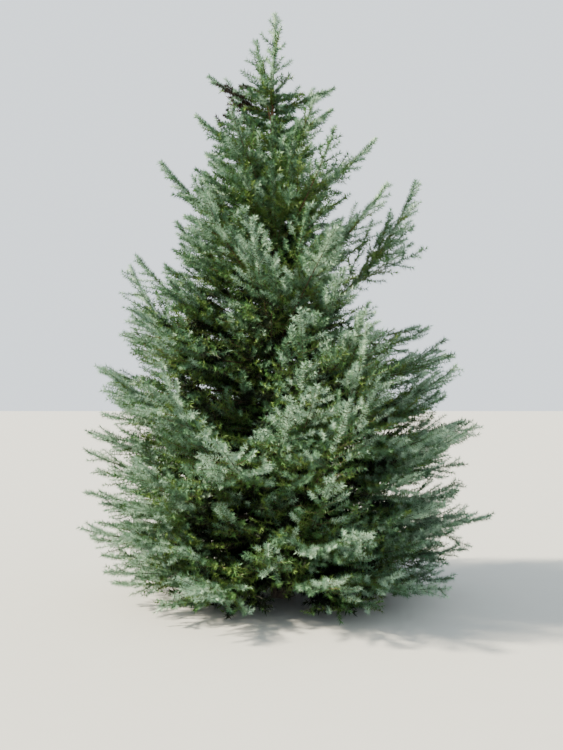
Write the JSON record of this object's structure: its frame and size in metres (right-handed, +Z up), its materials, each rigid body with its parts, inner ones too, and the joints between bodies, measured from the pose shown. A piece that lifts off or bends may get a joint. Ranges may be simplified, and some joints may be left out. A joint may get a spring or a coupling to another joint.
{
  "type": "deodar cedar tree",
  "caption": "Young blue deodar cedar with one leaning trunk, long low boughs and spreading masses of needle sprays down to the ground.",
  "frame": {"origin": "middle of the flat cut under the trunk, at ground level", "axes": "+Z up the tree, +X to the right as the picture shows it, -Y towards its viewer"},
  "size_m": [3.4212, 3.2411, 4.9791],
  "materials": {
    "trunk_bark": "matt, finely fissured grey-brown bark",
    "bough_bark": "matt, fairly smooth brown bark with needle scars",
    "needles": "matt waxy blue-green needles"
  },
  "bodies": {
    "root": {"bough_b1": "bough_bark", "bough_b2": "bough_bark", "bough_b3": "bough_bark", "bough_b4": "bough_bark", "bough_b5": "bough_bark", "bough_c1": "bough_bark", "bough_c2": "bough_bark", "bough_c3": "bough_bark", "bough_c4": "bough_bark", "bough_c5": "bough_bark", "bough_e3": "bough_bark", "bough_f1": "bough_bark", "foliage_a1": "needles", "foliage_a2": "needles", "foliage_a3": "needles", "foliage_a4": "needles", "foliage_a5": "needles", "foliage_b1": "needles", "foliage_b2": "needles", "foliage_b3": "needles", "foliage_b4": "needles", "foliage_b5": "needles", "foliage_c1": "needles", "foliage_c2": "needles", "foliage_c3": "needles", "foliage_c4": "needles", "foliage_c5": "needles", "foliage_d1": "needles", "foliage_d2": "needles", "foliage_d3": "needles", "foliage_d4": "needles", "foliage_d5": "needles", "foliage_e1": "needles", "foliage_e2": "needles", "foliage_e3": "needles", "foliage_e4": "needles", "foliage_f1": "needles", "foliage_f2": "needles", "foliage_f3": "needles", "foliage_f4": "needles", "foliage_g1": "needles", "foliage_g2": "needles", "foliage_g3": "needles", "foliage_g4": "needles", "foliage_h1": "needles", "foliage_h2": "needles", "foliage_h3": "needles", "foliage_i1": "needles", "foliage_i2": "needles", "foliage_i3": "needles", "foliage_j1": "needles", "foliage_j2": "needles", "foliage_j3": "needles", "foliage_k1": "needles", "foliage_k2": "needles", "foliage_l1": "needles", "foliage_l2": "needles", "foliage_leader": "needles", "trunk": "trunk_bark"}
  },
  "joints": []
}
